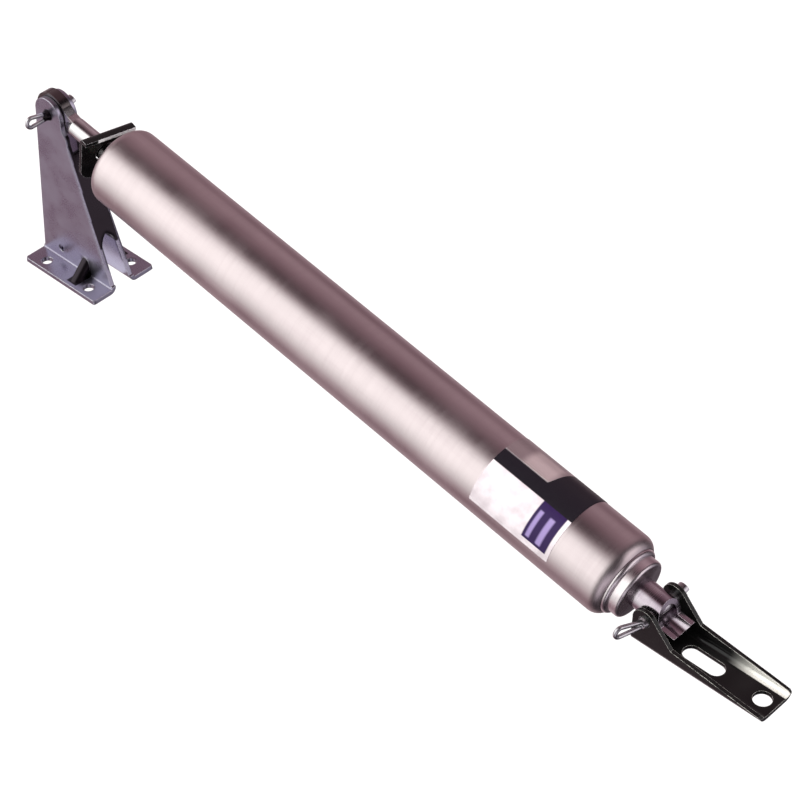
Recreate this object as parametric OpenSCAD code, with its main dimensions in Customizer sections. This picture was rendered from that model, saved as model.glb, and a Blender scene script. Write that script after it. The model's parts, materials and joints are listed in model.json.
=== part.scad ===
// Pneumatic door closer: a spring-returned air cylinder between a jamb bracket and a door bracket.
// Frame: Z up, origin on the jamb bracket's mounting face, in the middle of its screw holes, X towards
// the door bracket, both pins along Y. The rod is fully in, and both brackets stand on one plane.
// "Station" means the distance from the jamb pin along the cylinder's axis.

/* [Layout] */
// Distance between the two pins with the rod fully in
pin_to_pin = 316; // [310:1:322]
// Position of the jamb pin along X, from the middle of the screw holes
jamb_pin_x = -8.2; // [-10:0.2:-7]
// Height of the jamb pin above the bracket's feet
jamb_pin_h = 73.5; // [71:0.5:77]
// Height of the door pin above the door bracket's face
door_pin_h = 13.4; // [13:0.1:14]
// Diameter of both split pins
pin_d = 4.6; // [4:0.1:4.8]
// Radial running clearance at pins and bushes
run_gap = 0.07; // [0.03:0.01:0.1]

/* [Cylinder] */
// Outside diameter of the tube
tube_d = 33; // [31:0.5:34]
// Wall of the tube
tube_wall = 1.2; // [0.9:0.1:1.5]
// Station of the tube's jamb end
tube_start = 36.7; // [36:0.1:39]
// Station where the tube's spun door end stops
tube_end = 300.2; // [299:0.1:301]
// Radius of the spun shoulders
shoulder_r = 4.6; // [4:0.1:5]

/* [Rod and piston] */
// Diameter of the rod
rod_d = 7.94; // [7.5:0.01:8.2]
// Radius of the rod's flattened eye
eye_r = 8.8; // [8:0.1:9]
// Thickness of the rod's flattened eye
rod_flat = 4.2; // [3.8:0.1:4.4]
// Station of the shoulder that carries the piston
piston_station = 276; // [270:1:277]

/* [Closing spring] */
// Wire of the closing spring
spring_wire = 2; // [1.6:0.1:2.2]
// Mean diameter of the closing spring
spring_d = 23; // [21:0.5:24]
// Turns, with the two closed end turns
spring_turns = 26; // [22:1:28]

/* [Hold-open washer] */
// Width of the washer across the rod
washer_w = 22; // [20:0.5:23]
// Plate thickness of the washer
washer_t = 1.6; // [1.4:0.1:1.8]
// Station of the washer's middle on the rod
washer_station = 29; // [26:0.5:29]
// Angle that the loose washer has swung from square
washer_swing = 12; // [6:1:13]

/* [Jamb bracket] */
// Sheet thickness
jamb_t = 2; // [1.8:0.1:2.2]
// Radius of the bracket's eyes
jamb_eye_r = 7.4; // [7:0.1:7.8]
// Half width across the legs at the pin
leg_half_top = 4.4; // [4.4:0.1:4.7]
// Half width across the legs at the feet
leg_half_foot = 5.9; // [5.8:0.1:6.4]
// Length of each foot
foot_l = 42.6; // [41:0.2:44]
// Half width across both feet
foot_half = 15.9; // [15.5:0.1:17]
// Screw hole in a foot
foot_hole_d = 4.6; // [4.2:0.1:5]
// Hole spacing along a foot
foot_hole_l = 26; // [24:0.5:28]
// Hole spacing from foot to foot
foot_hole_w = 22.8; // [22:0.2:24]

/* [Door bracket] */
// Sheet thickness
door_t = 1.6; // [1.5:0.1:1.8]
// Width over the side lips
door_w = 18; // [17.8:0.1:18.6]
// Inner radius of the bends between floor and lips
door_bend = 2.2; // [1.5:0.1:2.6]
// Radius of the ears
door_ear_r = 5; // [4.8:0.1:5.4]
// Distance from the pin to the bracket's tip
door_reach = 51; // [50:0.5:53]
// Screw hole near the tip
door_hole_d = 7; // [6:0.1:7.4]
// Distance from the pin to the screw hole
door_hole_x = 45.2; // [44.5:0.1:46]
// Width of the adjusting slot
door_slot_w = 6.8; // [6:0.1:7]
// Distance between the slot's end centres
door_slot_l = 10.6; // [9:0.2:11]

/* [Hidden] */
$fn = 96;
small_fn = 32;
fit_gap = 0.04;

slope = asin((jamb_pin_h - door_pin_h) / pin_to_pin);
door_pin_x = jamb_pin_x + pin_to_pin * cos(slope);
pin_r = pin_d / 2;
pin_bore_r = pin_r + run_gap;
tube_r = tube_d / 2;
bore_r = tube_r - tube_wall;
rod_r = rod_d / 2;

// Jamb bracket
leg_x0 = -foot_l / 2 + 0.5;
leg_x1 = foot_l / 2 - 0.2;
leg_neck_h = jamb_pin_h - 4.5;
leg_step_h = jamb_pin_h - 7.4;
leg_knee_x = jamb_pin_x + jamb_eye_r + 2.6;
leg_knee_h = jamb_pin_h - 10.5;
bend_in = 1;
web_top = jamb_pin_h - 15;
arch_top = 24;
arch_foot = 17;
dart_x = 5.4;
dart_r = 2.4;
dart_sink = 2.1;
dart_reach = 7.5;
dart_root = 0.6;
tool_hole_x = -9.7;
tool_hole_h = 7;
tool_hole_d = 3;

// Split pins: the wire of a loop, and where each neck, loop end and tail lies along Y
loop_r = 2.1;
loop_wire_r = 0.85;
neck_wire_h = 1.1;
neck_r = 1.7;
neck_l = 1.3;
split_gap = 0.4;
tail_spread = 13;
tail_step = 0.8;
jamb_neck_y = -6;
jamb_loop_l = 9.2;
jamb_loop_bend = [-4, 0, -3];
jamb_tail_y = 5.2;
jamb_tail_l = 2.8;
door_neck_y = -10.6;
door_loop_l = 12.2;
door_loop_bend = [-12, 0, -12];
door_tail_y = 9.6;
door_tail_l = 2.6;

// Rod end
flat_start = 4.2;
flat_start_half = 7.6;
flat_end = 9.2;
flat_end_half = 4.3;
flat_tip = 13.5;
flat_tip_half = 3.3;
taper_start = 7.4;
taper_start_r = 2;
round_start = 12;
thread_r = 3;
nut_flats = 10;

// Stations inside the cylinder
cap_nose = 35.4;
cap_r = 10.9;
cap_inner = 42;
bush_r = 6;
bush_inner = 49;
bush_flange_r = 9.5;
bush_flange_l = 1.5;
seat_l = 1.5;
backing_l = 2;
cup_floor_l = 3;
cup_lip_l = 3.6;
retainer_l = 1.5;
nut_l = 4;
backing_station = piston_station + seat_l;
cup_station = backing_station + backing_l;
retainer_station = cup_station + cup_floor_l;
nut_station = retainer_station + retainer_l;
rod_end = nut_station + nut_l + 1;
spring_start = cap_inner + 0.3;
spring_end = piston_station - 0.3;

// Plug, stem and adjusting screw
plug_start = rod_end + 2.5;
plug_face = tube_end + 2;
boss_r = 12;
boss_end = 306.4;
ring_station = plug_start + 2.6;
ring_wire_r = 1.2;
ring_groove = 2.6;
stem_r = 5.9;
stem_bore_r = 4;
stem_start = plug_start + 7;
stem_end = pin_to_pin + 11.4;
needle_r = 2.4;
needle_tip_r = 0.5;
needle_tip = plug_start + 0.8;
needle_shoulder = needle_tip + 2.4;
screw_ring_station = needle_shoulder + 1.6;
screw_ring_wire_r = 0.6;
screw_groove = 1.25;
screw_head_r = 3.7;
screw_head_start = boss_end - 1;
screw_head_end = pin_to_pin - pin_r - 1.7;

// Label on the tube: its length and the angles it wraps, from straight up towards -Y
label_start = 240;
label_l = 37;
label_from = -66;
label_to = 86;
label_t = 0.14;

// Places a child, built along +X from the jamb pin, on the cylinder's axis.
module on_axis() {
    translate([jamb_pin_x, 0, jamb_pin_h]) rotate([0, slope, 0]) children();
}

// Turns a child profile (radius, station) about the cylinder's axis.
module turned() {
    on_axis() rotate([0, 90, 0]) rotate_extrude() children();
}

// A round bar on the cylinder's axis, as a profile for turned().
module ring_profile(r_in, r_out, from, to) {
    translate([r_in, from]) square([r_out - r_in, to - from]);
}

// A turned block with both outer corners rounded, as a profile.
module barrel_profile(r, from, to, r_from, r_to) {
    translate([0, from]) square([r - r_from, r_from]);
    translate([0, from + r_from]) square([r, to - from - r_from - r_to]);
    translate([0, to - r_to]) square([r - r_to, r_to]);
    intersection() {
        translate([r - r_from, from + r_from]) circle(r_from);
        translate([r - r_from, from]) square([r_from, r_from]);
    }
    intersection() {
        translate([r - r_to, to - r_to]) circle(r_to);
        translate([r - r_to, to - r_to]) square([r_to, r_to]);
    }
}

// A rectangle with round corners, centred.
module round_rect(l, w, r) {
    square([l - 2 * r, w], center = true);
    square([l, w - 2 * r], center = true);
    for (sx = [-1, 1], sy = [-1, 1])
        translate([sx * (l / 2 - r), sy * (w / 2 - r)]) circle(r, $fn = small_fn);
}

// A side outline drawn in X and Z, given a thickness along Y about the middle plane.
module side_prism(w) {
    translate([0, w / 2, 0]) rotate([90, 0, 0]) linear_extrude(w) children();
}

// A cross-section drawn in Y and Z, run along X.
module run_along_x(from, to) {
    translate([from, 0, 0]) rotate([90, 0, 90]) linear_extrude(to - from) children();
}

// What a rounded corner leaves out of a square one: the corner lies at the origin, filling +Y and +Z.
module corner_waste(r) {
    difference() {
        translate([-1, -1]) square(r + 1);
        translate([r, r]) circle(r);
    }
}

// A split pin along Y: two half-round legs, a spread tail, and a loop that is bent aside at its neck.
module split_pin(neck_y, loop_l, bend, tail_y, tail_l) {
    straight = tail_y - neck_y;
    difference() {
        translate([0, neck_y, 0]) rotate([-90, 0, 0]) {
            cylinder(r1 = neck_r, r2 = pin_r, h = neck_l);
            translate([0, 0, neck_l]) cylinder(r = pin_r, h = straight - neck_l);
        }
        translate([-pin_r - 1, neck_y - 1, -split_gap / 2])
            cube([2 * pin_r + 2, straight + 2, split_gap]);
    }
    for (side = [-1, 1])
        translate([0, tail_y - 0.1, 0]) rotate([side * tail_spread, 0, 0])
            half_leg(side, tail_l + (side > 0 ? tail_step : 0));
    translate([0, neck_y, 0]) rotate(bend) pin_loop(loop_l);
}

// One half-round leg of a split pin, from Y = 0 along +Y.
module half_leg(side, length) {
    difference() {
        rotate([-90, 0, 0]) cylinder(r = pin_r, h = length);
        translate([-pin_r - 1, -1, side > 0 ? -pin_r - 1 : -split_gap / 2])
            cube([2 * pin_r + 2, length + 2, pin_r + 1 + split_gap / 2]);
    }
}

// The loop of a split pin, from its neck at Y = 0 to its round end at -length.
module pin_loop(length) {
    end_y = loop_r + loop_wire_r - length;
    translate([0, end_y, 0]) rotate([0, 90, 0]) rotate([0, 0, 180])
        rotate_extrude(angle = 180) translate([loop_r, 0]) circle(loop_wire_r, $fn = small_fn);
    for (side = [-1, 1])
        loop_side([end_y, side * loop_r], [0.8, side * neck_wire_h]);
}

// A straight stretch of loop wire with round ends, between two points in Y and Z.
module loop_side(from, to) {
    run = to - from;
    for (end = [from, to])
        translate([0, end[0], end[1]]) sphere(r = loop_wire_r, $fn = small_fn);
    translate([0, from[0], from[1]]) rotate([atan2(run[1], run[0]) - 90, 0, 0])
        cylinder(r = loop_wire_r, h = norm(run), $fn = small_fn);
}

// One tapering leg with its eye, in X and Z.
module leg_outline() {
    difference() {
        union() {
            translate([jamb_pin_x, jamb_pin_h]) circle(jamb_eye_r);
            polygon([[jamb_pin_x - jamb_eye_r + 0.04, jamb_pin_h], [leg_x0, 0], [leg_x1, 0],
                     [leg_knee_x, leg_knee_h], [leg_knee_x - 0.3, leg_step_h],
                     [jamb_pin_x + jamb_eye_r + 0.2, leg_neck_h],
                     [jamb_pin_x + jamb_eye_r - 0.04, jamb_pin_h]]);
        }
        translate([jamb_pin_x, jamb_pin_h]) circle(pin_bore_r);
    }
}

// One leg, its bend and its foot in Y and Z, on the +Y side.
module leg_section() {
    top = jamb_pin_h + jamb_eye_r + 1;
    drift = (leg_half_foot - leg_half_top) / jamb_pin_h;
    y_top = leg_half_foot - drift * top;
    difference() {
        union() {
            polygon([[leg_half_foot, 0], [y_top, top], [y_top - jamb_t, top], [leg_half_foot - jamb_t, 0]]);
            translate([leg_half_foot - jamb_t, 0]) square([foot_half - leg_half_foot + jamb_t, jamb_t]);
            translate([leg_half_foot - 0.2, jamb_t - 0.2])
                intersection() {
                    corner_waste(bend_in + 0.2);
                    square(bend_in + 0.2);
                }
        }
        translate([leg_half_foot - jamb_t, 0]) corner_waste(bend_in + jamb_t);
    }
}

// The web that joins the legs along their tube-side edges, with a pointed arch below it.
module jamb_web() {
    edge = [leg_x1 - leg_knee_x, -leg_knee_h];
    lean = atan(edge[0] / -edge[1]);
    inset = jamb_t / cos(lean);
    low = arch_foot - 1;
    function edge_x(h) = leg_knee_x + (leg_knee_h - h) * tan(lean);
    difference() {
        intersection() {
            side_prism(2 * leg_half_foot)
                polygon([[edge_x(web_top), web_top], [edge_x(web_top) - inset, web_top],
                         [edge_x(low) - inset, low], [edge_x(low), low]]);
            run_along_x(-40, 60) polygon([[-leg_half_foot + 1, 0], [leg_half_foot - 1, 0],
                                          [leg_half_top - 1, jamb_pin_h], [-leg_half_top + 1, jamb_pin_h]]);
        }
        run_along_x(0, 60) arch_outline();
    }
}

// The arch between the legs, in Y and Z: two arcs that meet in a point.
module arch_outline() {
    half = leg_half_foot - jamb_t;
    rise = arch_top - arch_foot;
    arc_y = (rise * rise - half * half) / (2 * half);
    intersection() {
        translate([-arc_y, arch_foot]) circle(arc_y + half);
        translate([arc_y, arch_foot]) circle(arc_y + half);
        translate([-half, arch_foot - 0.1]) square([2 * half, rise + 1]);
    }
    translate([-half, -1]) square([2 * half, arch_foot + 1]);
}

// A dart pressed across a foot's bend, on the +Y side.
module foot_dart() {
    corner = [dart_x, leg_half_foot, jamb_t];
    size = dart_root + dart_reach + 1;
    intersection() {
        translate(corner + [0, dart_reach / 2, dart_reach / 2])
            rotate([45, 0, 0]) translate([0, -dart_sink, 0])
            cylinder(r = dart_r, h = 3 * dart_reach, center = true);
        translate(corner - [dart_r, dart_root, dart_root]) cube([2 * dart_r, size, size]);
    }
}

module jamb_bracket() {
    color("#8d8694") difference() {
        union() {
            intersection() {
                run_along_x(-foot_l, foot_l) {
                    leg_section();
                    mirror([1, 0]) leg_section();
                }
                union() {
                    side_prism(4 * foot_half) leg_outline();
                    linear_extrude(jamb_t + bend_in) round_rect(foot_l, 2 * foot_half, 1.2);
                }
            }
            jamb_web();
            foot_dart();
            mirror([0, 1, 0]) foot_dart();
        }
        for (sx = [-1, 1], sy = [-1, 1])
            translate([sx * foot_hole_l / 2, sy * foot_hole_w / 2, -1])
                cylinder(d = foot_hole_d, h = jamb_t + 2);
        translate([tool_hole_x, 0, tool_hole_h]) rotate([90, 0, 0])
            cylinder(d = tool_hole_d, h = 4 * leg_half_foot, center = true);
    }
}

module jamb_pin() {
    color("#77757a") translate([jamb_pin_x, 0, jamb_pin_h])
        split_pin(jamb_neck_y, jamb_loop_l, jamb_loop_bend, jamb_tail_y, jamb_tail_l);
}

module piston_rod() {
    color("#b5aeae") difference() {
        union() {
            on_axis() side_prism(rod_flat) {
                circle(eye_r);
                polygon([[0, -flat_start_half], [flat_start, -flat_start_half],
                         [flat_end, -flat_end_half], [flat_tip, -flat_tip_half],
                         [flat_tip, flat_tip_half], [flat_end, flat_end_half],
                         [flat_start, flat_start_half], [0, flat_start_half]]);
            }
            turned() {
                polygon([[0, taper_start], [taper_start_r, taper_start], [rod_r, round_start], [0, round_start]]);
                ring_profile(0, rod_r, round_start, piston_station);
                ring_profile(0, thread_r, piston_station - 1, rod_end);
            }
        }
        on_axis() rotate([90, 0, 0]) cylinder(r = pin_bore_r, h = 20, center = true);
    }
}

module hold_open_washer() {
    bend_out = bend_in + washer_t;
    plate_top = 11.2;
    plate_low = -10.8;
    lip = 4.6;
    tall = plate_top - plate_low;
    color("#3d3b3d") on_axis() translate([washer_station, 0, 0]) rotate([0, 0, -washer_swing])
        difference() {
            intersection() {
                side_prism(washer_w) translate([-washer_t / 2, plate_low]) difference() {
                    square([lip, tall]);
                    translate([washer_t, -1]) square([lip, tall - bend_out + 1]);
                    translate([bend_out, -1]) square([lip, tall - washer_t + 1]);
                    translate([bend_out, tall - bend_out]) circle(bend_in);
                    translate([0, tall]) mirror([0, 1]) corner_waste(bend_out);
                }
                run_along_x(-washer_t, lip + washer_t)
                    translate([0, plate_low + tall]) round_rect(washer_w, 2 * tall, 5);
            }
            rotate([0, 90, 0]) cylinder(r = rod_r + 0.6, h = 4 * washer_t, center = true);
        }
}

module tube() {
    color("#b3a3a3") turned() difference() {
        barrel_profile(tube_r, tube_start, tube_end + 1, shoulder_r, shoulder_r + 0.6);
        barrel_profile(bore_r, tube_start + tube_wall, tube_end + 1 - tube_wall,
                       shoulder_r - tube_wall, shoulder_r + 0.6 - tube_wall);
        translate([0, tube_start - 1]) square([cap_r + 0.1, 10]);
        translate([0, tube_end - 9]) square([13.9, 12]);
    }
}

// Pressed steel cup behind the tube's jamb shoulder. Its nose holds the rod bush.
module jamb_end_cap() {
    color("#9a9496") turned() difference() {
        union() {
            barrel_profile(bore_r - fit_gap, tube_start + tube_wall + fit_gap, cap_inner,
                           shoulder_r - tube_wall, 0.5);
            ring_profile(0, cap_r, cap_nose + 0.8, cap_inner - 1);
        }
        translate([0, cap_nose - 1]) square([bush_r + fit_gap, 20]);
    }
}

// Nylon bush that guides the rod.
module rod_bush() {
    color("#e6e1d6") turned() difference() {
        union() {
            ring_profile(0, bush_r, cap_nose, bush_inner);
            ring_profile(0, bush_flange_r, cap_inner + fit_gap, cap_inner + bush_flange_l);
        }
        translate([0, cap_nose - 1]) square([rod_r + run_gap, 30]);
        translate([0, cap_nose + 3]) square([bush_r - 0.9, 3]);
    }
}

// Felt ring in the bush's groove.
module rod_wiper() {
    color("#6b645c") turned()
        ring_profile(rod_r + run_gap, bush_r - 0.9 - fit_gap, cap_nose + 3.05, cap_nose + 5.95);
}

// Angle travelled and height reached along the spring: the first and last turns lie closed.
function spring_rise(t) =
    let (free = spring_end - spring_start - spring_wire - 2 * spring_wire,
         active = spring_turns - 2)
    t < 1 ? t * spring_wire
    : t > spring_turns - 1 ? spring_wire + free + (t - spring_turns + 1) * spring_wire
    : spring_wire + free * (t - 1) / active;

module closing_spring() {
    per_turn = 12;
    sides = 6;
    rings = spring_turns * per_turn;
    points = [for (i = [0:rings], k = [0:sides - 1])
        let (turn = 360 * i / per_turn, around = 360 * k / sides,
             r = spring_d / 2 + spring_wire / 2 * cos(around))
        [spring_start + spring_wire / 2 + spring_rise(i / per_turn) + spring_wire / 2 * sin(around),
         r * cos(turn), r * sin(turn)]];
    faces = [for (i = [0:rings - 1], k = [0:sides - 1])
        let (a = i * sides + k, b = i * sides + (k + 1) % sides)
        [a, a + sides, b + sides, b]];
    ends = [[for (k = [0:sides - 1]) k], [for (k = [0:sides - 1]) (rings + 1) * sides - 1 - k]];
    color("#57585c") on_axis() polyhedron(points = points, faces = concat(faces, ends));
}

module spring_seat() {
    color("#a8a49a") turned()
        ring_profile(thread_r + fit_gap, 13.8, piston_station + fit_gap, backing_station);
}

module cup_backing() {
    color("#c4b27a") turned()
        ring_profile(thread_r + fit_gap, 14.6, backing_station + fit_gap, cup_station);
}

// Rubber cup whose lip sweeps the tube.
module piston_cup() {
    color("#262628") turned() difference() {
        ring_profile(thread_r + fit_gap, bore_r - 0.05, cup_station + fit_gap, retainer_station + cup_lip_l);
        translate([thread_r, retainer_station]) polygon([[0, 0], [9.6, 0], [10.6, 5], [0, 5]]);
    }
}

module cup_retainer() {
    color("#a8a49a") turned()
        ring_profile(thread_r + fit_gap, 11, retainer_station + fit_gap, nut_station);
}

module piston_nut() {
    color("#8f8d8a") on_axis() translate([nut_station + fit_gap, 0, 0]) rotate([0, 90, 0])
        difference() {
            cylinder(d = nut_flats / cos(30), h = nut_l, $fn = 6);
            translate([0, 0, -1]) cylinder(r = thread_r + fit_gap, h = nut_l + 2);
        }
}

// Turned plug that closes the tube's door end. Its boss shows past the tube's shoulder.
module end_plug() {
    color("#a39a9e") turned() difference() {
        union() {
            barrel_profile(bore_r - fit_gap, plug_start, tube_end + 1 - tube_wall - fit_gap,
                           0.6, shoulder_r + 0.6 - tube_wall);
            barrel_profile(13.7, tube_end - 5, plug_face, 0.5, 1.5);
            barrel_profile(boss_r, tube_end, boss_end, 0.5, 1.2);
        }
        translate([bore_r - ring_groove, ring_station - ring_groove / 2]) square([3, ring_groove]);
        translate([0, plug_start - 1]) square([needle_r + run_gap, 20]);
        translate([0, stem_start]) square([stem_r + fit_gap, 20]);
    }
}

module plug_o_ring() {
    color("#242426") turned() translate([bore_r - ring_wire_r - 0.05, ring_station])
        circle(ring_wire_r);
}

// Tubular stem pressed into the plug. Past the pin its upper half is cut away to a trough,
// which lets a screwdriver reach the adjusting screw.
module end_stem() {
    trough_h = -1.6;
    color("#ab9fa6") difference() {
        turned() difference() {
            barrel_profile(stem_r, stem_start + fit_gap, stem_end + 3, 0.4, 0.8);
            translate([0, stem_start - 1]) square([stem_bore_r, 60]);
        }
        on_axis() translate([pin_to_pin, 0, 0]) {
            rotate([90, 0, 0]) cylinder(r = pin_bore_r, h = 40, center = true);
            side_prism(3 * stem_r) polygon([[0.6, 8], [4, 0.4], [5.2, trough_h], [20, trough_h], [20, 8]]);
            side_prism(3 * stem_r) difference() {
                translate([0, -10]) square([20, 20]);
                circle(stem_end - pin_to_pin);
            }
        }
    }
}

// Needle screw in the plug: its tip sets how fast air bleeds out.
module adjusting_screw() {
    color("#c2b37e") difference() {
        turned() difference() {
            union() {
                polygon([[0, needle_tip], [needle_tip_r, needle_tip],
                         [needle_r, needle_shoulder], [0, needle_shoulder]]);
                ring_profile(0, needle_r, needle_shoulder, screw_head_start + 1);
                barrel_profile(screw_head_r, screw_head_start, screw_head_end, 0.3, 0.5);
            }
            translate([needle_r - screw_groove, screw_ring_station - 0.7]) square([2, 1.4]);
        }
        on_axis() translate([screw_head_end, 0, 0]) cube([2.4, 1.2, 10], center = true);
    }
}

module screw_o_ring() {
    color("#242426") turned() translate([needle_r - screw_ring_wire_r + 0.02, screw_ring_station])
        circle(screw_ring_wire_r, $fn = small_fn);
}

module label() {
    color("#eae6f0") on_axis() rotate([0, 90, 0]) rotate([0, 0, 180 + label_from])
        rotate_extrude(angle = label_to - label_from)
        translate([tube_r + 0.01, label_start]) square([label_t, label_l]);
}

// Side outline of the door bracket, ears included, measured from below the pin.
module lip_outline() {
    inside = door_ear_r - 0.04;
    slant = 38;
    translate([0, 0, door_pin_h]) rotate([90, 0, 0])
        cylinder(r = door_ear_r, h = 2 * door_w, center = true);
    side_prism(2 * door_w)
        polygon([[-door_ear_r - 0.6, 0], [-inside, door_pin_h],
                 [inside * cos(slant), door_pin_h + inside * sin(slant)],
                 [12, 7.4], [door_reach - 1, 3], [door_reach, 2.2], [door_reach, 0]]);
}

// The channel's cross-section in Y and Z. The side outline cuts its top off.
module channel_section() {
    tall = 4 * door_pin_h;
    difference() {
        translate([0, tall / 2]) round_rect(door_w, tall, door_t + door_bend);
        translate([0, door_t + tall / 2]) round_rect(door_w - 2 * door_t, tall, door_bend);
    }
}

module door_bracket() {
    slot_x = 14.6;
    color("#3a393b") translate([door_pin_x, 0, 0]) difference() {
        intersection() {
            run_along_x(-20, door_reach + 5) channel_section();
            lip_outline();
            linear_extrude(4 * door_pin_h) translate([(door_reach - door_ear_r) / 2, 0])
                round_rect(door_reach + door_ear_r + 2, door_w, 1);
        }
        translate([0, 0, door_pin_h]) rotate([90, 0, 0])
            cylinder(r = pin_bore_r, h = 2 * door_w, center = true);
        translate([door_hole_x, 0, -1]) cylinder(d = door_hole_d, h = door_t + 2);
        translate([slot_x, 0, -1]) {
            cylinder(d = door_slot_w, h = door_t + 2);
            translate([door_slot_l, 0, 0]) cylinder(d = door_slot_w, h = door_t + 2);
            translate([0, -door_slot_w / 2, 0]) cube([door_slot_l, door_slot_w, door_t + 2]);
        }
    }
}

module door_pin() {
    color("#77757a") translate([door_pin_x, 0, door_pin_h])
        split_pin(door_neck_y, door_loop_l, door_loop_bend, door_tail_y, door_tail_l);
}

jamb_bracket();
jamb_pin();
piston_rod();
hold_open_washer();
tube();
jamb_end_cap();
rod_bush();
rod_wiper();
closing_spring();
spring_seat();
cup_backing();
piston_cup();
cup_retainer();
piston_nut();
end_plug();
plug_o_ring();
end_stem();
adjusting_screw();
screw_o_ring();
label();
door_bracket();
door_pin();
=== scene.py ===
"""Looks of the pneumatic door closer: its materials, the closing spring, the studio and the camera."""

import json
import math

import bpy
from mathutils import Matrix, Vector


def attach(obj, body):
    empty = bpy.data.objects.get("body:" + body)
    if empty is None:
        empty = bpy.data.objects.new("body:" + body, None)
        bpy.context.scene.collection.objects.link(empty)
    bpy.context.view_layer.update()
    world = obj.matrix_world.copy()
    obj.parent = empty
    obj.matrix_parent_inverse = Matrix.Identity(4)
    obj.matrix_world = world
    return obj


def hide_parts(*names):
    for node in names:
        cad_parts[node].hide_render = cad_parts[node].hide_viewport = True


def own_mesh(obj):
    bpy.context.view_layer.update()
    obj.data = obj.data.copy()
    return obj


MM = 0.001

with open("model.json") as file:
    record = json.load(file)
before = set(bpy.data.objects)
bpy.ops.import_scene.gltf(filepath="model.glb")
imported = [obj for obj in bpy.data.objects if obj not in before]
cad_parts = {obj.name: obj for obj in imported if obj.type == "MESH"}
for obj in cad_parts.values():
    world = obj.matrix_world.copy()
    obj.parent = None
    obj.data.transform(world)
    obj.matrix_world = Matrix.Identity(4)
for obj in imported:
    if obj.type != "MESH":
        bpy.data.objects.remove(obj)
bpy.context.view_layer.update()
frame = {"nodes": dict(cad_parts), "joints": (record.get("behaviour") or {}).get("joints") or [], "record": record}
nodes = frame["nodes"]
joints = {joint["name"]: joint for joint in frame["joints"]}

# The two pins, and the cylinder's axis between them. A distance along it from the jamb pin is a station.
jamb_pin = Vector(joints["jamb_pivot"]["pos_m"])
door_pin = Vector(joints["door_pivot"]["pos_m"])
along = Vector(joints["rod_slide"]["axis"]).normalized()
slope = math.asin(-along.z)
upward = Vector((-along.z, 0, along.x))


def on_axis(station):
    """The point of the cylinder's axis at a distance in metres from the jamb pin."""
    return jamb_pin + along * station


# ---------------------------------------------------------------- material graph


class Graph:
    """The node tree of a material or world, with short calls for the nodes used here."""

    def __init__(self, owner):
        owner.use_nodes = True
        self.owner = owner
        self.tree = owner.node_tree

    def put(self, socket, value):
        """Links a socket to another, or gives it a plain value."""
        if isinstance(value, bpy.types.NodeSocket):
            self.tree.links.new(value, socket)
        elif isinstance(value, (tuple, list)) and len(value) == 3 and socket.type == "RGBA":
            socket.default_value = (*value, 1.0)
        else:
            socket.default_value = value

    def node(self, kind, inputs=None, **settings):
        """A new node with its settings and inputs."""
        made = self.tree.nodes.new(kind)
        for key, value in settings.items():
            setattr(made, key, value)
        for socket, value in (inputs or {}).items():
            self.put(made.inputs[socket], value)
        return made

    def maths(self, operation, a, b=0.0):
        return self.node("ShaderNodeMath", {0: a, 1: b}, operation=operation).outputs[0]

    def product(self, first, *others):
        """All the values multiplied together."""
        for other in others:
            first = self.maths("MULTIPLY", first, other)
        return first

    def dot(self, a, b):
        """The dot product of two vectors."""
        return self.node("ShaderNodeVectorMath", {0: a, 1: b}, operation="DOT_PRODUCT").outputs["Value"]

    def part(self, vector, axis):
        """One coordinate of a vector socket: 0, 1 or 2."""
        return self.node("ShaderNodeSeparateXYZ", {0: vector}).outputs[axis]

    def span(self, value, low, high, to_low=0.0, to_high=1.0):
        """value going smoothly from to_low to to_high while it runs from low to high."""
        inputs = {"Value": value, "From Min": low, "From Max": high, "To Min": to_low, "To Max": to_high}
        return self.node("ShaderNodeMapRange", inputs, interpolation_type="SMOOTHSTEP").outputs[0]

    def span_linear(self, value, low, high):
        """value going evenly from 0 to 1 while it runs from low to high."""
        return self.node("ShaderNodeMapRange", {"Value": value, "From Min": low, "From Max": high}).outputs[0]

    def mix(self, share, a, b):
        """Colour a where share is 0 and b where it is 1."""
        return self.node("ShaderNodeMix", {0: share, 6: a, 7: b}, data_type="RGBA").outputs[2]

    def noise(self, where, scale, detail=2.0, roughness=0.5):
        inputs = {"Vector": where, "Scale": scale, "Detail": detail, "Roughness": roughness}
        return self.node("ShaderNodeTexNoise", inputs).outputs[0]

    def rest_point(self):
        """The surface point in the row frame, in metres, with every joint at rest."""
        return self.node("ShaderNodeTexCoord").outputs["Object"]

    def stretched(self, where, scale):
        return self.node("ShaderNodeMapping", {"Vector": where, "Scale": scale}).outputs[0]

    def axis_point(self):
        """(station, across, up) from the cylinder's axis, in metres."""
        moved = self.node("ShaderNodeVectorMath", {0: self.rest_point(), 1: tuple(jamb_pin)},
                          operation="SUBTRACT").outputs[0]
        return self.node("ShaderNodeMapping", {"Vector": moved, "Rotation": (0, -slope, 0)}).outputs[0]

    def polar(self):
        """The station, and the angle in degrees from straight up towards -Y."""
        split = self.node("ShaderNodeSeparateXYZ", {0: self.axis_point()})
        towards_near_side = self.maths("MULTIPLY", split.outputs[1], -1.0)
        angle = self.maths("ARCTAN2", towards_near_side, split.outputs[2])
        return split.outputs[0], self.maths("DEGREES", angle)

    def soft_edges(self, radius):
        """(normal rounded over the edges, mask that is 1 on the edges)."""
        rounded = self.node("ShaderNodeBevel", {"Radius": radius}, samples=6).outputs[0]
        true = self.node("ShaderNodeNewGeometry").outputs["Normal"]
        return rounded, self.span(self.dot(rounded, true), 0.995, 0.86)

    def bump(self, height, strength, distance, normal=None):
        inputs = {"Height": height, "Strength": strength, "Distance": distance}
        if normal is not None:
            inputs["Normal"] = normal
        return self.node("ShaderNodeBump", inputs).outputs[0]


def material(name):
    """The graph of a new material."""
    return Graph(bpy.data.materials.new(name))


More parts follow.
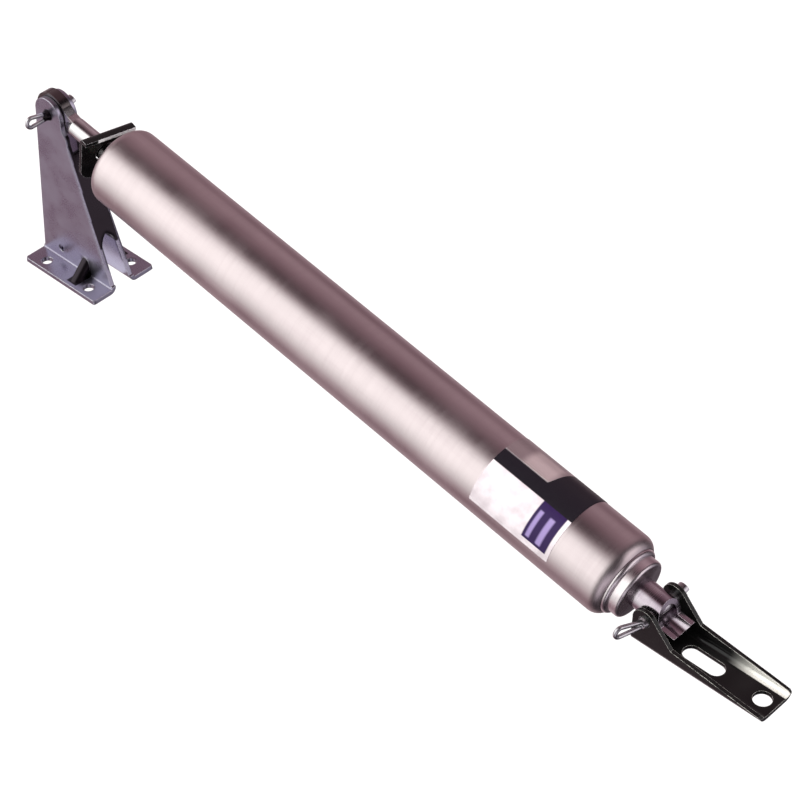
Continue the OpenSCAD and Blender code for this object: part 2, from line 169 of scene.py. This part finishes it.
def surface(graph, colour, roughness, normal, metallic=1.0, **more):
    """Sets the shader's main inputs, and any others by their exact names, and returns the material."""
    shader = graph.tree.nodes["Principled BSDF"]
    inputs = {"Base Color": colour, "Roughness": roughness, "Normal": normal, "Metallic": metallic, **more}
    for name, value in inputs.items():
        graph.put(shader.inputs[name], value)
    return graph.owner


def inside_box(g, low, high, soft):
    """1 inside a box of the row frame given in metres, fading out over soft."""
    split = g.node("ShaderNodeSeparateXYZ", {0: g.rest_point()})
    mask = 1.0
    for value, start, end in zip(split.outputs, low, high):
        mask = g.product(mask, g.span(value, start - soft, start), g.span(value, end + soft, end))
    return mask


def plated_metal(name, light, dark, worn, roughness, edge=0.25 * MM, cloud=90.0, painted_shade=(), folded=None):
    """Sheet or bar metal: cloudy colour, fine grain, rounded and brighter edges.

    Boxes (low, high) given for painted shade are where the metal is painted dark, as shade.
    folded is (low, high, radius): a box whose edges are folds of that radius, not cuts.
    """
    g = material(name)
    point = g.rest_point()
    rounded, edges = g.soft_edges(edge)
    if folded:
        fold, _ = g.soft_edges(folded[2])
        near_fold = inside_box(g, folded[0], folded[1], 1.0 * MM)
        # A vector mix takes its two vectors at inputs 4 and 5 and gives the result at output 1
        mixed = g.node("ShaderNodeMix", {0: near_fold, 4: rounded, 5: fold}, data_type="VECTOR").outputs[1]
        rounded = g.node("ShaderNodeVectorMath", {0: mixed}, operation="NORMALIZE").outputs[0]
    clouds = g.noise(point, cloud, 3.0)
    grains = g.noise(point, 2600.0, 3.0, 0.6)
    marks = g.noise(g.stretched(point, (1.0, 1.0, 0.25)), 700.0, 4.0, 0.65)
    wear = g.product(edges, g.span(marks, 0.30, 0.55, 0.25, 1.0))
    colour = g.mix(g.span(clouds, 0.32, 0.68), dark, light)
    colour = g.mix(wear, colour, worn)
    # Painted shade: inside each box the metal is painted near black
    for low, high in painted_shade:
        colour = g.mix(inside_box(g, low, high, 0.5 * MM), colour, (0.035, 0.028, 0.034))
    spread = g.maths("ADD", clouds, g.product(grains, 0.6))
    rough = g.span(spread, 0.45, 1.15, roughness - 0.07, roughness + 0.10)
    normal = g.bump(grains, 0.12, 0.05 * MM, rounded)
    return surface(g, colour, rough, normal)


def tube_metal():
    """Satin tube with a mauve tint, faintly streaked round its girth."""
    g = material("tube_metal")
    rounded, edges = g.soft_edges(0.3 * MM)
    point = g.axis_point()
    rings = g.noise(g.stretched(point, (1.0, 0.02, 0.02)), 1900.0, 3.0, 0.6)
    streaks = g.noise(g.stretched(point, (0.05, 1.0, 1.0)), 420.0, 3.0, 0.6)
    clouds = g.noise(point, 38.0, 3.0, 0.55)
    speckle = g.noise(point, 2400.0, 2.0, 0.5)
    tone = g.mix(g.span(clouds, 0.30, 0.70), (0.58, 0.50, 0.51), (0.66, 0.57, 0.58))
    tone = g.mix(g.span(streaks, 0.45, 0.75, 0.0, 0.25), tone, (0.52, 0.43, 0.45))
    tone = g.mix(g.product(edges, 0.5), tone, (0.80, 0.76, 0.76))
    spread = g.maths("ADD", g.product(rings, 0.5), g.product(clouds, 0.5))
    rough = g.span(spread, 0.35, 0.65, 0.30, 0.42)
    height = g.maths("ADD", g.product(rings, 0.6), g.product(speckle, 0.4))
    normal = g.bump(height, 0.10, 0.04 * MM, rounded)
    return surface(g, tone, rough, normal)


def turned_metal(name, light, dark, roughness):
    """Bar turned on a lathe: fine rings across the cylinder's axis."""
    g = material(name)
    point = g.axis_point()
    rounded, edges = g.soft_edges(0.25 * MM)
    rings = g.noise(g.stretched(point, (1.0, 0.02, 0.02)), 3000.0, 3.0, 0.6)
    clouds = g.noise(point, 140.0, 3.0)
    colour = g.mix(g.span(clouds, 0.3, 0.7), dark, light)
    colour = g.mix(g.product(edges, 0.7), colour, (0.85, 0.83, 0.84))
    rough = g.span(rings, 0.3, 0.7, roughness - 0.06, roughness + 0.08)
    normal = g.bump(rings, 0.18, 0.04 * MM, rounded)
    return surface(g, colour, rough, normal)


def drawn_rod():
    """Polished rod: fine lines along its length, a film of oil, and painted shade darkening its end round the jamb
    pin.
    """
    g = material("rod_steel")
    point = g.axis_point()
    rounded, edges = g.soft_edges(0.3 * MM)
    lines = g.noise(g.stretched(point, (0.02, 1.0, 1.0)), 2600.0, 3.0, 0.6)
    clouds = g.noise(point, 160.0, 3.0)
    colour = g.mix(g.span(clouds, 0.3, 0.7), (0.52, 0.49, 0.50), (0.70, 0.67, 0.68))
    colour = g.mix(g.product(edges, 0.6), colour, (0.86, 0.84, 0.85))
    # Painted shade: the rod's end round the jamb pin, between the bracket's legs, is painted dark
    eye_shade = g.span(g.part(point, 0), 8.5 * MM, 6.0 * MM)
    colour = g.mix(eye_shade, colour, (0.15, 0.13, 0.13))
    rough = g.span(lines, 0.3, 0.7, 0.16, 0.28)
    normal = g.bump(lines, 0.12, 0.03 * MM, rounded)
    return surface(g, colour, rough, normal, **{"Coat Weight": 0.15, "Coat Roughness": 0.12})


def gloss_black(name, worn, roughness=0.16, highlight_station=None, highlight_box=None):
    """Black gloss finish, worn to bright metal on the sheared edges.

    The highlight station: faces past it that look along the cylinder are painted pale, not metallic, as a painted
    highlight.
    The highlight box, (low, high) of the row frame: in it the finish is painted bright, as a painted highlight.
    """
    g = material(name)
    point = g.rest_point()
    rounded, edges = g.soft_edges(0.28 * MM)
    patches = g.noise(point, 520.0, 4.0, 0.6)
    peel = g.noise(point, 1500.0, 2.0)
    clouds = g.noise(point, 70.0, 2.0)
    black = g.mix(g.span(clouds, 0.3, 0.7), (0.002, 0.002, 0.002), (0.006, 0.0055, 0.0055))
    wear = g.product(edges, g.span(patches, 0.36, 0.56, 0.10, 0.8))
    metallic = wear
    if highlight_box:
        # The painted highlight grows over the first stretch of the box
        start = highlight_box[0][0]
        lip_highlight = g.product(inside_box(g, *highlight_box, 0.4 * MM),
                           g.span(g.part(point, 0), start, start + 16 * MM),
                           g.span(patches, 0.2, 0.5, 0.75, 0.95))
        # From here wear carries both the worn edges and the painted highlight
        wear = g.maths("MAXIMUM", wear, lip_highlight)
        metallic = g.product(wear, g.span(lip_highlight, 0.0, 0.6, 1.0, 0.5))
    colour = g.mix(wear, black, worn)
    if highlight_station:
        # Painted highlight: those faces are painted pale and lose their metal
        facing = g.dot(g.node("ShaderNodeTexCoord").outputs["Normal"], tuple(along))
        station = g.part(g.axis_point(), 0)
        end = g.product(g.span(facing, 0.6, 0.8), g.span(station, highlight_station, highlight_station + 0.2 * MM))
        colour = g.mix(end, colour, (0.85, 0.83, 0.84))
        metallic = g.product(wear, g.maths("SUBTRACT", 1.0, end))
    rough = g.mix(wear, g.span(patches, 0.3, 0.7, roughness - 0.05, roughness + 0.08), (0.3, 0.3, 0.3))
    normal = g.bump(peel, 0.10, 0.05 * MM, rounded)
    return surface(g, colour, rough, normal, metallic,
                   **{"Specular IOR Level": 0.2, "Coat Weight": 0.15, "Coat Roughness": 0.10})


def rubber():
    """Moulded black rubber, a little paler on its edges."""
    g = material("rubber")
    point = g.rest_point()
    rounded, edges = g.soft_edges(0.2 * MM)
    grain = g.noise(point, 2200.0, 3.0)
    colour = g.mix(g.span(grain, 0.3, 0.7), (0.012, 0.012, 0.013), (0.03, 0.03, 0.032))
    colour = g.mix(g.product(edges, 0.4), colour, (0.08, 0.08, 0.085))
    normal = g.bump(grain, 0.25, 0.05 * MM, rounded)
    return surface(g, colour, g.span(grain, 0.3, 0.7, 0.5, 0.68), normal, 0.0)


def nylon():
    """Natural nylon that light enters a little."""
    g = material("nylon")
    point = g.rest_point()
    rounded, edges = g.soft_edges(0.25 * MM)
    grain = g.noise(point, 900.0, 3.0)
    colour = g.mix(g.span(grain, 0.3, 0.7), (0.70, 0.67, 0.58), (0.80, 0.78, 0.70))
    colour = g.mix(g.product(edges, 0.3), colour, (0.88, 0.87, 0.82))
    normal = g.bump(grain, 0.12, 0.05 * MM, rounded)
    more = {"Subsurface Weight": 0.15, "Subsurface Scale": 0.002}
    return surface(g, colour, g.span(grain, 0.3, 0.7, 0.38, 0.52), normal, 0.0, **more)


def felt():
    """Oiled felt."""
    g = material("felt")
    point = g.rest_point()
    fibres = g.noise(g.stretched(point, (1.0, 3.0, 1.4)), 1600.0, 6.0, 0.75)
    colour = g.mix(g.span(fibres, 0.3, 0.7), (0.07, 0.055, 0.04), (0.20, 0.17, 0.14))
    normal = g.bump(fibres, 0.8, 0.2 * MM)
    return surface(g, colour, g.span(fibres, 0.3, 0.7, 0.8, 0.95), normal, 0.0, **{"Sheen Weight": 0.4})


def label_film():
    """Printed film: a black band over the top, an indigo block with two light bars, the rest white."""
    g = material("label_film")
    station, angle = g.polar()
    start = 240 * MM
    length = 37 * MM
    run = g.maths("DIVIDE", g.maths("SUBTRACT", station, start), length)

    def between(value, low, high, soft):
        """1 where value lies between low and high, fading over soft on either side."""
        return g.product(g.span(value, low - soft, low + soft), g.span(value, high + soft, high - soft))

    blotch = g.noise(g.rest_point(), 170.0, 3.0)
    white = g.mix(g.span(blotch, 0.3, 0.7), (0.48, 0.42, 0.44), (0.63, 0.57, 0.59))
    # The black band: its upper edge runs level and then turns up over the top of the tube
    climb = g.maths("SUBTRACT", 2.5, g.product(g.span(run, 0.54, 0.66), 72.0))
    past_edge = g.maths("SUBTRACT", angle, climb)
    band = g.product(g.span(past_edge, -1.5, 1.5), g.span(angle, 24.6, 23.2))
    # The plain silver patch above the band, with a painted highlight along its middle
    patch = g.span(past_edge, 1.5, -1.5)
    patch_highlight = g.product(between(run, 0.22, 0.56, 0.05), between(angle, -34.0, 4.0, 5.0))
    silver = g.mix(patch_highlight, (0.46, 0.38, 0.39), (0.90, 0.80, 0.78))
    # The indigo block and its two light bars
    block = g.product(between(run, 0.655, 0.955, 0.008), between(angle, 23.0, 77.0, 0.6))
    bars = g.maths("MAXIMUM", between(run, 0.69, 0.735, 0.012), between(run, 0.815, 0.875, 0.014))
    bars = g.product(bars, between(angle, 35.0, 73.0, 1.5), block)
    colour = g.mix(patch, white, silver)
    colour = g.mix(block, colour, (0.018, 0.006, 0.046))
    colour = g.mix(bars, colour, (0.24, 0.18, 0.36))
    colour = g.mix(band, colour, (0.008, 0.006, 0.009))
    smooth = g.noise(g.rest_point(), 900.0, 3.0)
    rounded, _ = g.soft_edges(0.08 * MM)
    normal = g.bump(smooth, 0.06, 0.03 * MM, rounded)
    return surface(g, colour, g.span(smooth, 0.3, 0.7, 0.30, 0.40), normal, g.product(patch, 0.9),
                   **{"Specular IOR Level": 0.2})


# The pressed dart on each foot, as boxes in the row frame, inside which the plate is painted dark as shade
SHADED_DARTS = [((2.8 * MM, y * MM, 2.05 * MM), (8.0 * MM, (y + 8) * MM, 10.0 * MM)) for y in (-14, 6)]

# The bend inside the door bracket's +Y lip, towards the tip, as a box in the row frame, where a highlight is
# painted on
LIP_HIGHLIGHT = ((door_pin.x + 25 * MM, 5.4 * MM, 1.7 * MM), (door_pin.x + 52 * MM, 7.45 * MM, 9.0 * MM))

# The jamb pin's neck, as a box in the row frame, inside which the wire is painted dark as shade
PIN_NECK_SHADE = (tuple(jamb_pin - Vector((3, 6.6, 3)) * MM), tuple(jamb_pin + Vector((3, -4.4, 3)) * MM))

# The space between the bracket's legs, as boxes in the row frame, inside which the plate is painted dark as shade
LEG_GAP_SHADE = [((-1 * MM, -half * MM, low * MM), (26 * MM, half * MM, (low + 12) * MM))
           for low, half in ((19, 4.5), (31, 4.3), (43, 4.0), (55, 3.7))]

# The station past which the hold-open washer's faces that look along the cylinder are painted pale, as a painted
# highlight
WASHER_HIGHLIGHT_STATION = 31.5 * MM

# The web between the legs, as a box in the row frame, and the radius of its folds
WEB = ((-1 * MM, -7 * MM, 10 * MM), (26 * MM, 7 * MM, 62 * MM), 2.2 * MM)

MATERIALS = {
    "zinc_plate": plated_metal("zinc_plate", (0.44, 0.42, 0.51), (0.37, 0.34, 0.43), (0.72, 0.71, 0.77), 0.28,
                               edge=0.6 * MM, painted_shade=SHADED_DARTS + LEG_GAP_SHADE, folded=WEB),
    "pin_wire": plated_metal("pin_wire", (0.80, 0.78, 0.80), (0.50, 0.48, 0.51), (0.88, 0.86, 0.88), 0.30,
                             cloud=260.0, painted_shade=[PIN_NECK_SHADE]),
    "rod_steel": drawn_rod(),
    "black_steel": gloss_black("black_steel", (0.80, 0.78, 0.80), 0.24, highlight_station=WASHER_HIGHLIGHT_STATION),
    "tube_metal": tube_metal(),
    "cap_metal": turned_metal("cap_metal", (0.52, 0.48, 0.50), (0.36, 0.33, 0.35), 0.30),
    "nylon": nylon(),
    "felt": felt(),
    "spring_wire": plated_metal("spring_wire", (0.22, 0.22, 0.24), (0.12, 0.12, 0.13), (0.4, 0.4, 0.42), 0.30),
    "plate_steel": plated_metal("plate_steel", (0.60, 0.58, 0.54), (0.45, 0.43, 0.40), (0.8, 0.78, 0.74), 0.28),
    "brass": turned_metal("brass", (0.76, 0.58, 0.27), (0.58, 0.42, 0.18), 0.26),
    "rubber": rubber(),
    "plug_metal": turned_metal("plug_metal", (0.78, 0.71, 0.73), (0.60, 0.53, 0.56), 0.30),
    "stem_metal": turned_metal("stem_metal", (0.53, 0.47, 0.51), (0.37, 0.31, 0.36), 0.20),
    "label_film": label_film(),
    # Its worn colour also serves as the painted highlight in the lip box
    "black_gloss": gloss_black("black_gloss", (0.80, 0.78, 0.72), highlight_box=LIP_HIGHLIGHT),
}

slots = {part["node"]: part["material_slot"] for part in frame["record"]["subparts"]}
for name, part in nodes.items():
    part.data.materials.clear()
    part.data.materials.append(MATERIALS[slots[name]])


# ---------------------------------------------------------------- pieces


def mesh_piece(name, points, faces, slot, body):
    """A smooth mesh piece with its material, riding on a body."""
    mesh = bpy.data.meshes.new(name)
    mesh.from_pydata([tuple(p) for p in points], [], faces)
    mesh.validate()
    mesh.shade_smooth()
    mesh.materials.append(MATERIALS[slot])
    piece = bpy.data.objects.new(name, mesh)
    bpy.context.scene.collection.objects.link(piece)
    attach(piece, body)
    return piece


def skin(rings):
    """Faces that join rings of equal length in a row, with both ends capped."""
    sides = len(rings[0])
    points = [p for ring in rings for p in ring]
    faces = [
        (i * sides + k, i * sides + (k + 1) % sides, (i + 1) * sides + (k + 1) % sides, (i + 1) * sides + k)
        for i in range(len(rings) - 1)
        for k in range(sides)
    ]
    last = (len(rings) - 1) * sides
    return points, faces + [tuple(reversed(range(sides))), tuple(last + k for k in range(sides))]


def closing_spring():
    """The round-wire coil between the jamb cap and the piston, its end turns closed."""
    wire = 1.0 * MM  # the wire's radius
    radius = 11.5 * MM  # the coil's, to the middle of the wire
    turns = 26
    first = 42.3 * MM  # the station of its jamb end
    last = 275.7 * MM  # the station of its piston end
    per_turn = 40
    sides = 12
    thick = 2 * wire
    free = last - first - 3 * thick
    across = Vector((0, 1, 0))

    def rise(t):
        """How far along the axis the wire has come after t turns, of which the first and last lie flat."""
        if t < 1:
            return t * thick
        if t > turns - 1:
            return thick + free + (t - turns + 1) * thick
        return thick + free * (t - 1) / (turns - 2)

    rings = []
    for i in range(turns * per_turn + 1):
        t = i / per_turn
        turn = 2 * math.pi * t
        outward = across * math.cos(turn) + upward * math.sin(turn)
        centre = on_axis(first + wire + rise(t)) + outward * radius
        rings.append([centre + outward * wire * math.cos(a) + along * wire * math.sin(a)
                      for a in (2 * math.pi * k / sides for k in range(sides))])
    piece = mesh_piece("closing_spring_wire", *skin(rings), "spring_wire", "rod")
    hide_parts("closing_spring")
    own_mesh(piece)


closing_spring()


# ---------------------------------------------------------------- studio and camera


def floor():
    """A plain pale floor, below the lowest point that any joint reaches. Reflections don't see it."""
    height = -90 * MM
    g = material("floor")
    clouds = g.noise(g.rest_point(), 3.0, 2.0)
    colour = g.mix(g.span(clouds, 0.3, 0.7), (0.19, 0.19, 0.19), (0.21, 0.21, 0.21))
    look = surface(g, colour, 0.85, g.bump(clouds, 0.02, 1.0 * MM), 0.0,
                   **{"Emission Color": (0.99, 0.98, 0.98), "Emission Strength": 0.82})
    bpy.ops.mesh.primitive_plane_add(size=8.0, location=(0.18, 0.0, height))
    plane = bpy.context.object
    plane.name = "floor"
    plane.data.materials.append(look)
    plane.visible_glossy = False


def card(name, centre, size, colour, strength):
    """A small glowing card that lies level and that the camera doesn't see."""
    g = material(name)
    patches = g.noise(g.rest_point(), 60.0, 2.0)
    glow = g.mix(g.span(patches, 0.3, 0.7), tuple(0.9 * c for c in colour), colour)
    look = surface(g, (0.0, 0.0, 0.0), 0.9, g.bump(patches, 0.01, 1.0 * MM), 0.0,
                   **{"Emission Color": glow, "Emission Strength": strength})
    bpy.ops.mesh.primitive_plane_add(size=1.0, location=centre)
    plane = bpy.context.object
    plane.name = name
    plane.scale = (*size, 1.0)
    plane.data.materials.append(look)
    plane.visible_camera = False


def softbox(name, towards, distance, size, power, target=(0.15, 0.0, 0.04)):
    """A rectangular lamp in the direction towards from target. Reflections don't see it."""
    lamp = bpy.data.lights.new(name, "AREA")
    lamp.shape = "RECTANGLE"
    lamp.size = size[0]
    lamp.size_y = size[1]
    lamp.energy = power
    holder = bpy.data.objects.new(name, lamp)
    direction = Vector(towards).normalized()
    holder.location = Vector(target) + direction * distance
    holder.rotation_euler = (-direction).to_track_quat("-Z", "Y").to_euler()
    holder.visible_glossy = False
    bpy.context.scene.collection.objects.link(holder)


# Brightness of the room round the cylinder's axis, by the angle in degrees from straight up towards -Y
ROOM = [(-180, 0.55), (-118, 0.55), (-88, 0.18), (-64, 0.50), (-30, 0.29), (-4, 0.07), (14, 0.08), (40, 1.75),
        (82, 1.75), (104, 1.25), (136, 0.55), (156, 0.24), (180, 0.55)]
BRIGHTEST = 2.0


def studio():
    """White for the camera. Reflections see a dark room with a long light beside the cylinder."""
    world = bpy.data.worlds.new("studio")
    bpy.context.scene.world = world
    g = Graph(world)
    ray = g.node("ShaderNodeTexCoord").outputs["Generated"]
    ahead = g.dot(ray, tuple(along))
    angle = g.maths("DEGREES", g.maths("ARCTAN2", g.dot(ray, (0, -1, 0)), g.dot(ray, tuple(upward))))

    ramp = g.node("ShaderNodeValToRGB", {0: g.span_linear(angle, -180.0, 180.0)})
    stops = ramp.color_ramp.elements
    while len(stops) < len(ROOM):
        stops.new(0.5)
    for stop, (degrees, value) in zip(stops, ROOM):
        stop.position = (degrees + 180) / 360
        stop.color = (*[value / BRIGHTEST] * 3, 1)
    light = g.product(g.node("ShaderNodeRGBToBW", {0: ramp.outputs[0]}).outputs[0], BRIGHTEST)
    tint = g.mix(g.span(light, 0.1, 1.1), (1.0, 0.62, 0.73), (1.0, 1.02, 1.0))
    tinted = g.node("ShaderNodeVectorMath", {0: tint, "Scale": light}, operation="SCALE").outputs[0]
    # The room is almost black past the door end
    room = g.mix(g.span(ahead, 0.28, -0.12), (0.034, 0.026, 0.033), tinted)

    def lamp(room, starts, ends, past, colour):
        """The room with a light that starts and ends at given angles and lies past a share of ahead."""
        share = g.product(g.span(angle, *starts), g.span(angle, *ends), g.span(ahead, *past))
        return g.mix(share, room, colour)

    # There it has a light low on the -Y side, a bright one high on the +Y side and a weaker one under that
    room = lamp(room, (45.0, 80.0), (155.0, 125.0), (0.38, 0.6), (0.85, 0.80, 0.88))
    far_side = g.mix(g.span(angle, -100.0, -65.0), (0.50, 0.47, 0.53), (1.25, 1.17, 1.22))
    room = lamp(room, (-160.0, -130.0), (-4.0, -30.0), (0.40, 0.60), far_side)

    seen = g.node("ShaderNodeLightPath").outputs["Is Camera Ray"]
    g.put(g.tree.nodes["Background"].inputs[0], g.mix(seen, room, (1.0, 1.0, 1.0)))
    softbox("top", towards=(0.1, -0.1, 1.0), distance=2.2, size=(3.0, 3.0), power=90.0)
    softbox("fill", towards=(0.9, -0.3, 0.25), distance=1.2, size=(0.6, 0.6), power=6.0, target=tuple(jamb_pin))
    card("foot_card", centre=(jamb_pin.x + 6 * MM, 0.0, 0.1 * MM), size=(34 * MM, 7.4 * MM),
         colour=(0.95, 0.93, 1.0), strength=1.3)
    bpy.context.scene.view_settings.view_transform = "Standard"


def camera():
    """The camera at the photograph's angle: azimuth from -Y towards +X, and elevation."""
    azimuth = math.radians(44.84)
    elevation = math.radians(42.20)
    roll = math.radians(-1.53)
    distance = 0.9083
    target = Vector((0.1818, 0.0, 0.035))
    back = Vector((math.sin(azimuth) * math.cos(elevation), -math.cos(azimuth) * math.cos(elevation),
                   math.sin(elevation)))
    level = Vector((math.cos(azimuth), math.sin(azimuth), 0))
    rise = back.cross(level)
    right = level * math.cos(roll) + rise * math.sin(roll)
    up = rise * math.cos(roll) - level * math.sin(roll)
    lens = bpy.data.cameras.new("camera")
    lens.lens = 112.5
    lens.sensor_width = 36.0
    lens.shift_x = -0.0090
    lens.shift_y = 0.0035
    lens.clip_start = 0.01
    holder = bpy.data.objects.new("camera", lens)
    stand = Matrix((right, up, back)).transposed().to_4x4()
    stand.translation = target + back * distance
    holder.matrix_world = stand
    bpy.context.scene.collection.objects.link(holder)
    bpy.context.scene.camera = holder


floor()
studio()
camera()
